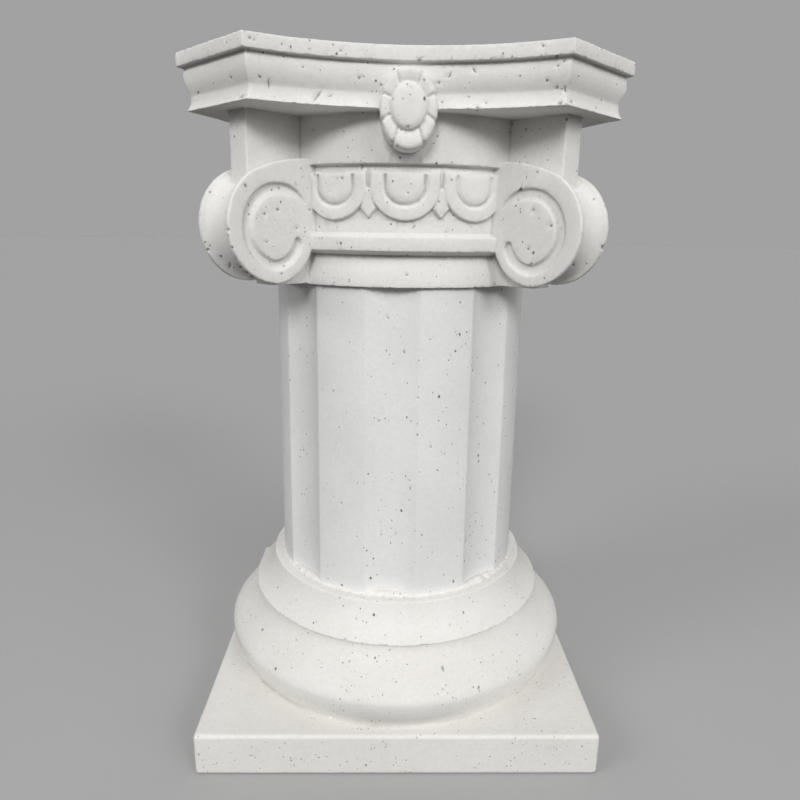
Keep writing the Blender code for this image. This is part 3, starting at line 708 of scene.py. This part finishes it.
fluteCentre, fluteBend = fluteArc(shaftSize)
shaftMesh = applyTree(linkObject("shaftRule", bpy.data.meshes.new("shaftRule")), shaftTree(), {
    "Foot height": baseTop + shaftSize["foot"], "Height": shaftSize["height"],
    "Foot radius": shaftSize["footRadius"], "Top radius": shaftSize["topRadius"],
    "Flutes": fluteSize["count"], "Flute centre": fluteCentre, "Flute bend": fluteBend, "Turn": fluteStart,
    "Arris": shaftSize["arris"], "Material": stone["shaftStone"]})
shaftHoles = [
    # as in the base's list
    (388, 318, 3.0, 3.0, 0, 1.4), (404, 352, 2.4, 6.0, 10, 1.5), (418, 398, 2.6, 2.6, 0, 1.2),
    (379, 421, 2.6, 3.4, -20, 1.3), (431, 447, 3.0, 2.6, 0, 1.4), (410, 489, 2.4, 5.0, 0, 1.4),
    (396, 533, 2.8, 2.6, 0, 1.3), (473, 371, 2.6, 3.0, 0, 1.3), (479, 462, 3.0, 5.5, 15, 1.5),
    (466, 541, 2.6, 2.6, 0, 1.2), (333, 391, 2.4, 2.4, 0, 1.1), (341, 503, 2.6, 2.6, 0, 1.2),
    (505, 419, 2.4, 3.4, 0, 1.2), (300, 349, 2.2, 2.6, 0, 1.0), (444, 575, 2.6, 4.0, -15, 1.3),
    (367, 566, 2.6, 2.2, 0, 1.2),
]
shaftCast = cast("shaftCast", [shaftMesh], stone["shaftStone"], shaftSize, shaftHoles)

# capital: necking, egg-and-dart ring, corner volutes and abacus, cast in one

capitalSize = {
    "neckRadius": 0.1615, "neckWaist": 0.1535, "neckHeight": 0.0377, "neckLip": 0.0035,
    "waistLevel": 0.86, "waistHollow": 0.22,  # shares of the neck's height and of its step in
    "bandRadius": 0.170, "bandHeight": 0.0139, "bandSlope": 0.0048,
    "echinusRadius": 0.163, "echinusHeight": 0.0665, "friezeRadius": 0.170, "friezeHeight": 0.0478,
    "cornerX": 0.1451, "cornerY": 0.2283, "middle": 0.191, "fillet": 0.0134, "step": 0.0064,
    "ovolo": 0.026, "ovoloSwell": 0.0028, "throat": 0.0104, "flare": 0.0145, "flareHollow": 0.0015,
    "footInset": 0.0062, "sink": 0.012,
    "joint": 0.0003,      # the shadow gap over the shaft
    "grain": 0.0009, "faces": 197000, "seed": 3.0,
}
eggSize = {"width": 0.071, "height": 0.051, "straight": 0.018, "spacing": 0.0762, "relief": 0.005,
           "topGap": 0.0034, "rim": 0.0116, "groove": 0.0050, "grooveDepth": 0.0040, "sink": 0.012}
dartSize = {"width": 0.018, "height": 0.031, "relief": 0.004, "tipGap": 0.0135, "sink": 0.012}
pierSize = {"length": 0.2346, "thickness": 0.030, "gap": 0.001, "root": 0.1185, "sink": 0.006}
scrollSize = {
    # lengths out are measured along the diagonal from the column's axis, angles are degrees above level
    "centre": 0.2088, "drop": 0.109, "radius": 0.0582, "innerRadius": 0.0495, "sweep": 220, "closing": 60,
    "root": 0.1235, "flatOut": 0.165, "shoulder": 0.0675, "shoulderAngle": 70, "shoulderRun": 0.020,
    "thickness": 0.056, "rim": 0.006, "hollow": 0.011, "edge": 0.0008, "lip": 0.0005,
}
channelSize = {
    "radius": 0.0383, "endRadius": 0.026, "width": 0.0125, "depth": 0.0048,
    "start": 144, "turn": 303, "bend": -80,     # where it starts, how far it turns, where it starts to close
    "openLift": 0.003, "openShare": 0.15,       # the channel starts a little further out
    "tipWidth": 0.10, "tipShare": 0.13, "tipCurl": 0.7, "tailShare": 0.045, "leastTail": 0.02,
    "outerWall": (0.10, 0.36), "innerWall": (0.32, 0.12),  # widths of its walls at the top and at the bottom
    "above": 0.003,                             # how far the cutting form stands out of the face
    # the two faces were carved apart: how far out and up the channel sits on each
    "shifts": {1: (-0.0020, -0.0026), -1: (-0.0034, -0.0038)},
}
medallionSize = {
    "width": 0.0548, "height": 0.0745, "drop": 0.0012, "aside": 0.0015, "stand": 0.006, "sink": 0.008,
    # degrees above level of the grooves at the right; the left has the same
    "grooves": (62, 21, -17, -57), "grooveWidth": 0.0011, "grooveDepth": 0.0034, "groovePinch": 0.0016,
    "grooveRadius": 0.026,        # where the width of a groove is measured
    "seat": 0.0026, "bossWidth": 0.0352, "bossHeight": 0.0440, "bossRelief": 0.0034, "bossLift": 0.0020,
}

neckZ = baseTop + shaftSize["foot"] + shaftSize["height"] + capitalSize["joint"]
bandZ = neckZ + capitalSize["neckHeight"]
echinusZ = bandZ + capitalSize["bandHeight"] + capitalSize["bandSlope"]
friezeZ = echinusZ + capitalSize["echinusHeight"]
abacusZ = friezeZ + capitalSize["friezeHeight"]
throatZ = abacusZ + capitalSize["flare"]
filletZ = throatZ + capitalSize["ovolo"]
topZ = filletZ + capitalSize["fillet"]
eyeZ = abacusZ - scrollSize["drop"]


def coreForm(size):
    lip = (size["neckRadius"], neckZ + size["neckLip"])
    waist = (size["neckWaist"], bandZ - (size["neckHeight"] - size["neckLip"]) * (1 - size["waistLevel"]))
    sunk = abacusZ + size["sink"]
    profile = [(0, sunk), (size["friezeRadius"], sunk), (size["friezeRadius"], friezeZ),
               (size["echinusRadius"], friezeZ), (size["echinusRadius"], echinusZ),
               (size["bandRadius"], bandZ + size["bandHeight"]), (size["bandRadius"], bandZ)]
    profile += swelling(waist, lip, size["waistHollow"] * (size["neckRadius"] - size["neckWaist"]), 20)
    profile += [(size["neckRadius"], neckZ), (0, neckZ)]
    return turnedMesh("core", profile, 360)


def abacusPlan(size, inset, steps=24):
    sagitta = size["cornerY"] - size["middle"]
    bend = (size["cornerX"] ** 2 + sagitta ** 2) / (2 * sagitta)
    centre = size["middle"] + bend
    radius = bend + inset
    cut = (size["cornerX"] + size["cornerY"]) / math.sqrt(2) - inset
    reach = math.acos((centre - cut * math.sqrt(2)) / (radius * math.sqrt(2))) - math.pi / 4
    plan = []
    for quarter in range(4):
        turn = Matrix.Rotation(quarter * math.pi / 2, 2)
        for k in range(2 * steps + 1):
            a = reach * (k / steps - 1)
            plan.append(turn @ Vector((radius * math.sin(a), radius * math.cos(a) - centre)))
    return plan


def abacusForm(size):
    levels = swelling((size["footInset"], abacusZ), (size["throat"], throatZ), -size["flareHollow"], 8)
    levels += swelling((size["throat"], throatZ), (size["step"], filletZ), size["ovoloSwell"], 14)[1:]
    levels += [(0, filletZ), (0, topZ)]
    bm = bmesh.new()
    skin(bm, [[(p.x, p.y, z) for p in abacusPlan(size, inset)] for inset, z in levels])
    return meshFrom("abacus", bm)


def onDiagonal(out, across, z):
    return ((out - across) * math.sqrt(0.5), (out + across) * math.sqrt(0.5), z)


def scrollOutline(size, inset):
    radius = size["radius"] - inset
    shoulder = math.radians(size["shoulderAngle"])
    joinOut = size["centre"] + radius * math.cos(shoulder)
    joinZ = eyeZ + radius * math.sin(shoulder)
    crown = eyeZ + size["shoulder"] - inset
    flatOut = min(size["flatOut"], joinOut - size["shoulderRun"])
    points = [(size["root"], crown), (flatOut, crown)]
    for k in range(1, 12):
        t = k / 12
        points.append((flatOut + (joinOut - flatOut) * t, crown + (joinZ - crown) * t * t))
    for k in range(80):
        a = shoulder - math.radians(size["sweep"]) * k / 79
        shrink = max(0.0, (-math.pi / 2 - a) / math.radians(size["closing"]))
        r = radius - shrink * (size["radius"] - size["innerRadius"])
        points.append((size["centre"] + r * math.cos(a), eyeZ + r * math.sin(a)))
    points.append((size["root"], points[-1][1]))
    return points


def channelCutter(size):
    bm = bmesh.new()
    half = scrollSize["thickness"] / 2
    start, bend = math.radians(size["start"]), math.radians(size["bend"])
    end = start - math.radians(size["turn"])
    steps = 120
    for face in (-1, 1):
        shiftOut, shiftUp = size["shifts"][face]
        rings = []
        for k in range(steps + 1):
            share = k / steps
            a = start + (end - start) * share
            closing = max(0.0, (bend - a) / (bend - end))
            centre = size["radius"] + (size["endRadius"] - size["radius"]) * closing
            centre += size["openLift"] * max(0.0, 1 - share / size["openShare"])
            opening = (share / size["tipShare"]) ** size["tipCurl"]
            taper = min(1.0, size["tipWidth"] + (1 - size["tipWidth"]) * opening)
            tail = max(0.0, (share - 1) / size["tailShare"] + 1)
            taper = min(taper, math.sqrt(max(size["leastTail"], 1 - tail ** 2)))
            # the outer wall is steep at the top and eases off below, the inner one the other way round
            low = (1 - math.sin(a)) / 2
            walls = (size["outerWall"], size["innerWall"])
            outer, inner = (top + (bottom - top) * low for top, bottom in walls)
            # across the channel, in shares of its width and depth
            section = [(-0.50, 0.0), (-0.50 + 0.55 * outer, 0.72), (-0.50 + outer, 0.96), (-0.06, 1.0),
                       (0.46 - inner, 0.97), (0.50 - 0.80 * inner, 0.80), (0.50, 0.0)]
            cut = [(across, size["depth"] * deep * min(1.0, taper * 1.2)) for across, deep in section]
            cut += [(0.50, -size["above"]), (-0.50, -size["above"])]
            ring = []
            for across, sink in cut:
                r = centre - across * size["width"] * taper
                ring.append(onDiagonal(scrollSize["centre"] + shiftOut + r * math.cos(a),
                                       face * (half - sink),
                                       eyeZ + shiftUp + r * math.sin(a)))
            rings.append(ring)
        skin(bm, rings)
    return meshFrom("channels", bm)


def scrollForm(size):
    bm = bmesh.new()
    half, edge = size["thickness"] / 2, size["edge"]
    flank = half - size["rim"]
    # across the scroll and inwards: a rounded rim at each face, and a hollow between them
    stations = [(-half, edge), (-half + edge, 0.0), (-flank - size["lip"], 0.0)]
    for k in range(17):
        a = math.pi * k / 16
        stations.append((-flank * math.cos(a), size["hollow"] * math.sin(a)))
    stations += [(flank + size["lip"], 0.0), (half - edge, 0.0), (half, edge)]
    skin(bm, [[onDiagonal(out, across, z) for out, z in scrollOutline(size, inset)]
              for across, inset in stations])
    scroll = linkObject("scroll", meshFrom("scroll", bm))
    cutter = linkObject("cutter", channelCutter(channelSize))
    cut = scroll.modifiers.new("channel", 'BOOLEAN')
    cut.operation, cut.solver, cut.object = 'DIFFERENCE', 'EXACT', cutter
    mesh = evaluated(scroll)
    bpy.data.objects.remove(scroll)
    bpy.data.objects.remove(cutter)
    return mesh


def pierForm(size):
    bm = bmesh.new()
    side = size["thickness"] / 2
    foot, top = neckZ + size["gap"], abacusZ + size["sink"]
    outline = [(size["root"], foot), (scrollSize["centre"], foot), (size["length"], eyeZ),
               (size["length"], top), (size["root"], top)]
    skin(bm, [[onDiagonal(out, across, z) for out, z in outline] for across in (-side, side)])
    return meshFrom("pier", bm)


def eggLoop(size, inset, drop, steps=40):
    half = size["width"] / 2 - inset
    deep = size["height"] - size["straight"] - inset
    points = [(-half, -drop)]
    for k in range(steps + 1):
        a = math.pi + math.pi * k / steps
        points.append((half * math.cos(a), -size["straight"] + deep * math.sin(a)))
    points.append((half, -drop))
    return points


def eggForm(size):
    bm = bmesh.new()
    top = friezeZ - size["topGap"]
    drum = capitalSize["echinusRadius"]
    face = drum + size["relief"]
    rim, groove, deep = size["rim"], size["groove"], size["grooveDepth"]
    # from the drum over the rim, down into the groove, up to the egg: inset, drop of the ends, distance out
    loops = [(-0.0008, 0.0, drum - size["sink"]), (-0.0008, 0.0, drum),
             (-0.0002, size["relief"] * 0.8, face - 0.0009),
             (0.0006, size["relief"], face), (rim - 0.0006, size["relief"] + 0.0003, face),
             (rim + 0.0002, size["relief"] + 0.0004, face - 0.0004),
             (rim + groove * 0.62, size["relief"] + 0.0006, face - deep),
             (rim + groove * 0.80, size["relief"] + 0.0008, face - deep * 0.9),
             (rim + groove * 1.0, size["relief"] + 0.0009, face - deep * 0.45),
             (rim + groove * 1.35, size["relief"] + 0.0010, face - deep * 0.18),
             (rim + groove * 2.2, size["relief"] + 0.0012, face + 0.0001)]
    rings = []
    for inset, drop, radius in loops:
        ring = []
        for side, height in eggLoop(size, inset, drop):
            a = side / face - math.pi / 2
            ring.append((radius * math.cos(a), radius * math.sin(a), top + height))
        rings.append(ring)
    skin(bm, rings)
    return meshFrom("egg", bm)


def dartForm(size):
    bm = bmesh.new()
    drum = capitalSize["echinusRadius"]
    tip = echinusZ + size["tipGap"]
    face = drum + size["relief"]
    wide, high = size["width"], size["height"]
    shape = [(0, 0), (0.5 * wide, 0.32 * high), (0.12 * wide, high), (-0.12 * wide, high),
             (-0.5 * wide, 0.32 * high)]
    rings = []
    # distance out, and the share of the full outline there
    for radius, scale in ((drum - size["sink"], 1.0), (drum + 0.001, 1.0), (face - 0.0008, 0.84),
                          (face, 0.70)):
        ring = []
        for side, height in shape:
            a = side * scale / face - math.pi / 2
            z = tip + high / 3 + (height - high / 3) * (0.5 + scale / 2)
            ring.append((radius * math.cos(a), radius * math.sin(a), z))
        rings.append(ring)
    skin(bm, rings)
    return meshFrom("dart", bm)


def medallionForm(size):
    bm = bmesh.new()
    centre = abacusZ - size["drop"]
    aside = size["aside"]
    front = capitalSize["middle"] + size["stand"]
    back = capitalSize["friezeRadius"] - size["sink"]
    right = [math.radians(g) for g in size["grooves"]]
    grooves = sorted(right + [math.pi - g for g in right])
    halfWide, halfHigh = size["width"] / 2, size["height"] / 2
    bossWide, bossHigh = size["bossWidth"] / 2, size["bossHeight"] / 2
    steps = 220
    angles = [2 * math.pi * k / steps for k in range(steps)]
    rings = []
    # the ring of petals: share of the way from rim to boss, distance out, bite of the grooves
    for share, out, bite in ((0.0, back, 0.6), (0.0, front - 0.0065, 0.9), (0.03, front - 0.0035, 1.0),
                             (0.10, front - 0.0014, 1.0), (0.22, front - 0.0002, 1.0), (0.40, front, 1.0),
                             (0.65, front - 0.0004, 1.0), (0.85, front - 0.0012, 0.9),
                             (0.96, front - 0.0022, 0.5), (1.0, front - size["seat"], 0.2)):
        ring = []
        for a in angles:
            gap = min(abs((a - g + math.pi) % (2 * math.pi) - math.pi) for g in grooves)
            notch = math.exp(-(gap * size["grooveRadius"] / size["grooveWidth"]) ** 2) * bite
            pinch = size["groovePinch"] * notch * (1 - share)
            wide = halfWide + (bossWide - halfWide) * share - pinch
            high = halfHigh + (bossHigh - halfHigh) * share - pinch
            ring.append((aside + wide * math.cos(a), size["grooveDepth"] * notch - out,
                         centre + size["bossLift"] * share + high * math.sin(a)))
        rings.append(ring)
    # the boss: share of its width, share of its relief
    for share, rise in ((0.985, 0.0), (0.95, 0.45), (0.88, 0.72), (0.75, 0.9), (0.5, 1.0), (0.2, 1.05)):
        out = front - size["seat"] + (size["bossRelief"] + size["seat"]) * rise
        rings.append([(aside + bossWide * share * math.cos(a), -out,
                       centre + size["bossLift"] + bossHigh * share * math.sin(a)) for a in angles])
    skin(bm, rings)
    return meshFrom("medallion", bm)


capitalWhite = stone["capitalStone"]
eggPitch = eggSize["spacing"] / (capitalSize["echinusRadius"] + eggSize["relief"])
capitalForms = [
    coreForm(capitalSize), abacusForm(capitalSize),
    repeated("scrolls", scrollForm(scrollSize), capitalWhite),
    repeated("piers", pierForm(pierSize), capitalWhite),
    repeated("eggs", eggForm(eggSize), capitalWhite, perSide=3, pitch=eggPitch),
    repeated("darts", dartForm(dartSize), capitalWhite, perSide=2, pitch=eggPitch),
    repeated("medallions", medallionForm(medallionSize), capitalWhite),
]
capitalHoles = [
    # as in the base's list
    (318, 96, 1.9, 19, -33, 1.5), (269, 85, 1.6, 11, 0, 1.5), (250, 38, 2.6, 2.6, 0, 1.2),
    (254, 40, 2.4, 2.4, 0, 1.2), (341, 51, 2.6, 2.2, 0, 1.2), (309, 49, 2.4, 2.4, 0, 1.1),
    (303, 67, 2.8, 2.4, 0, 1.3), (231, 78, 2.6, 2.6, 0, 1.2), (260, 77, 2.6, 2.6, 0, 1.2),
    (359, 78, 3.2, 2.8, 0, 1.4), (313, 130, 2.6, 2.4, 0, 1.2), (363, 113, 2.4, 2.6, 0, 1.2),
    (381, 85, 3.0, 2.4, 0, 1.3), (198, 93, 3.0, 2.6, 0, 1.4), (241, 97, 6.0, 4.0, 0, 2.2),
    (419, 61, 2.6, 2.4, 0, 1.2), (450, 75, 2.0, 7.5, -25, 1.6), (474, 70, 2.0, 8.0, 30, 1.6),
    (439, 83, 3.2, 3.0, 0, 1.5), (424, 80, 2.4, 3.4, 30, 1.3), (543, 46, 2.8, 2.6, 0, 1.3),
    (557, 56, 3.0, 2.8, 0, 1.4), (564, 61, 2.6, 2.6, 0, 1.2), (558, 66, 2.8, 2.4, 0, 1.3),
    (547, 81, 3.2, 2.8, 0, 1.5), (557, 88, 2.8, 2.6, 0, 1.3), (565, 90, 2.0, 7.0, 20, 1.5),
    (477, 108, 5.0, 4.2, 20, 2.2), (486, 103, 2.8, 2.6, 0, 1.3), (469, 97, 2.6, 2.4, 0, 1.2),
    (442, 102, 3.0, 2.6, 0, 1.3), (408, 127, 3.0, 2.8, 0, 1.4), (510, 132, 2.8, 2.4, 0, 1.3),
    (526, 129, 2.8, 2.6, 0, 1.3), (512, 57, 2.6, 2.6, 0, 1.2), (560, 103, 5.0, 4.0, 0, 1.8),
    (566, 104, 4.0, 3.4, 0, 1.6), (572, 102, 4.4, 3.6, 0, 1.6), (210, 192, 3.2, 2.8, 0, 1.4),
    (228, 230, 3.6, 3.0, 0, 1.6), (208, 250, 4.4, 3.4, 30, 2.0), (210, 246, 2.8, 2.8, 0, 1.3),
    (246, 186, 3.4, 4.2, 40, 1.7), (278, 210, 3.4, 3.2, 0, 1.6), (265, 214, 2.8, 3.2, 0, 1.3),
    (279, 188, 2.4, 2.4, 0, 1.1), (297, 228, 2.8, 2.4, 0, 1.3), (310, 210, 3.0, 2.8, 0, 1.4),
    (319, 227, 2.8, 2.8, 0, 1.3), (267, 242, 2.6, 2.2, 0, 1.2), (282, 274, 2.8, 2.6, 0, 1.3),
    (284, 266, 2.6, 2.8, 0, 1.2), (241, 267, 4.6, 3.2, 30, 2.0), (232, 248, 3.2, 2.6, 0, 1.5),
    (230, 266, 2.2, 8.0, -30, 1.7), (236, 259, 3.6, 2.8, 30, 1.8), (247, 272, 4.2, 3.0, 30, 1.9),
    (252, 277, 3.4, 2.8, 30, 1.6), (521, 190, 4.6, 3.8, 0, 2.0), (518, 200, 3.0, 2.6, 0, 1.4),
    (533, 210, 3.0, 2.8, 0, 1.4), (551, 226, 3.0, 2.8, 0, 1.4), (528, 249, 3.0, 2.6, 0, 1.4),
    (537, 172, 2.6, 2.4, 0, 1.2), (531, 264, 2.8, 2.6, 0, 1.3), (594, 199, 3.0, 3.0, 0, 1.4),
    (573, 265, 3.2, 2.8, 0, 1.4), (603, 248, 5.0, 6.0, 0, 2.4), (407, 84, 2.8, 2.4, 0, 1.3),
    (331, 96, 2.6, 2.4, 0, 1.2), (342, 178, 3.2, 2.8, 0, 1.5), (362, 167, 1.8, 8.0, -12, 1.5),
    (452, 180, 2.8, 2.6, 0, 1.3), (408, 193, 2.8, 2.6, 0, 1.3), (446, 232, 2.8, 2.4, 0, 1.3),
    (414, 227, 2.0, 6.0, -35, 1.4), (337, 244, 2.8, 2.2, 0, 1.2), (407, 255, 3.0, 2.6, 0, 1.4),
    (407, 275, 3.4, 2.8, 0, 1.5), (439, 202, 2.6, 2.4, 0, 1.2),
]
capitalCast = cast("capitalCast", capitalForms, capitalWhite, capitalSize, capitalHoles)

# the studio: a wide pale floor that meets air of the same tone, soft lamps all round, and two near the top

studioSize = {"floor": "#B6B6B6", "reach": 40.0, "air": 0.36, "above": 0.266, "below": 0.059}
lightLook = {
    # each lamp: degrees to the right, degrees above, softness in degrees, strength
    "softKey": (-9.0, 28.0, 18.0, 1.33),
    "highKey": (10.0, 50.0, 18.0, 0.13),
    "rightFill": (35.0, 28.0, 18.0, 0.58),
    "rightRim": (60.0, 14.0, 20.0, 0.31),
    "leftRim": (-65.0, 33.0, 20.0, 0.45),
    "backFill": (180.0, 60.0, 30.0, 0.35),
}
nearLook = {
    # lamps close by, at the photographer's left and right: place, aim, size in metres, power in watts
    "topLeftLamp": ((-0.7, -0.9, 1.05), (-0.1, -0.15, 0.65), 0.4, 0.90),
    "topRightLamp": ((0.7, -0.9, 1.05), (0.1, -0.15, 0.65), 0.4, 0.76),
}


def makeFloor(size):
    bm = bmesh.new()
    bmesh.ops.create_circle(bm, cap_ends=True, radius=size["reach"], segments=64)
    mesh = meshAsIs("studioFloor", bm)
    mat = bpy.data.materials.new("paperBackdrop")
    mat.use_nodes = True
    shader = mat.node_tree.nodes["Principled BSDF"]
    shader.inputs["Base Color"].default_value = hexToLinear(size["floor"])
    shader.inputs["Roughness"].default_value = 1.0
    shader.inputs["Specular IOR Level"].default_value = 0.0
    mesh.materials.append(mat)
    obj = linkObject("studioFloor", mesh)
    obj.visible_diffuse = False  # its glow is left to the air below the horizon
    return obj


def makeLamp(name, right, above, softness, strength):
    light = bpy.data.lights.new(name, 'SUN')
    light.energy, light.angle = strength, math.radians(softness)
    obj = linkObject(name, light)
    side, up = math.radians(right), math.radians(above)
    source = Vector((math.sin(side) * math.cos(up), -math.cos(side) * math.cos(up), math.sin(up)))
    obj.rotation_euler = source.to_track_quat('Z', 'Y').to_euler()


def makeNearLamp(name, place, aim, size, power):
    light = bpy.data.lights.new(name, 'AREA')
    light.shape, light.size, light.energy = 'DISK', size, power
    obj = linkObject(name, light)
    obj.location = place
    obj.rotation_euler = (Vector(place) - Vector(aim)).to_track_quat('Z', 'Y').to_euler()


def makeAir(size):
    # even grey to the eye, and as light brighter above the horizon than below
    world = bpy.data.worlds.new("studioAir")
    world.use_nodes = True
    tree = world.node_tree
    outward = addNode(tree, 'ShaderNodeTexCoord').outputs["Generated"]
    way = addNode(tree, 'ShaderNodeSeparateXYZ', {0: outward})
    lit = addNode(tree, 'ShaderNodeMapRange', {"Value": way.outputs["Z"], 1: -0.25, 2: 0.25,
                                               3: size["below"], 4: size["above"]})
    toCamera = addNode(tree, 'ShaderNodeLightPath').outputs["Is Camera Ray"]
    seen = addNode(tree, 'ShaderNodeMix', {"Factor": toCamera, 2: lit.outputs[0], 3: size["air"]})
    tree.links.new(seen.outputs[0], tree.nodes["Background"].inputs["Strength"])
    tree.nodes["Background"].inputs["Color"].default_value = (1, 1, 1, 1)
    scene.world = world


floor = makeFloor(studioSize)
for lamp, values in lightLook.items():
    makeLamp(lamp, *values)
for lamp, values in nearLook.items():
    makeNearLamp(lamp, *values)
makeAir(studioSize)
scene.view_settings.view_transform = 'Standard'
print("studio ready")

# join the looks to the frame

for piece, node, slot in ((baseCast, "base", "base stone"), (shaftCast, "shaft", "shaft stone"),
                          (capitalCast, "capital", "capital stone")):
    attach(piece, "root")
    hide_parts(node)
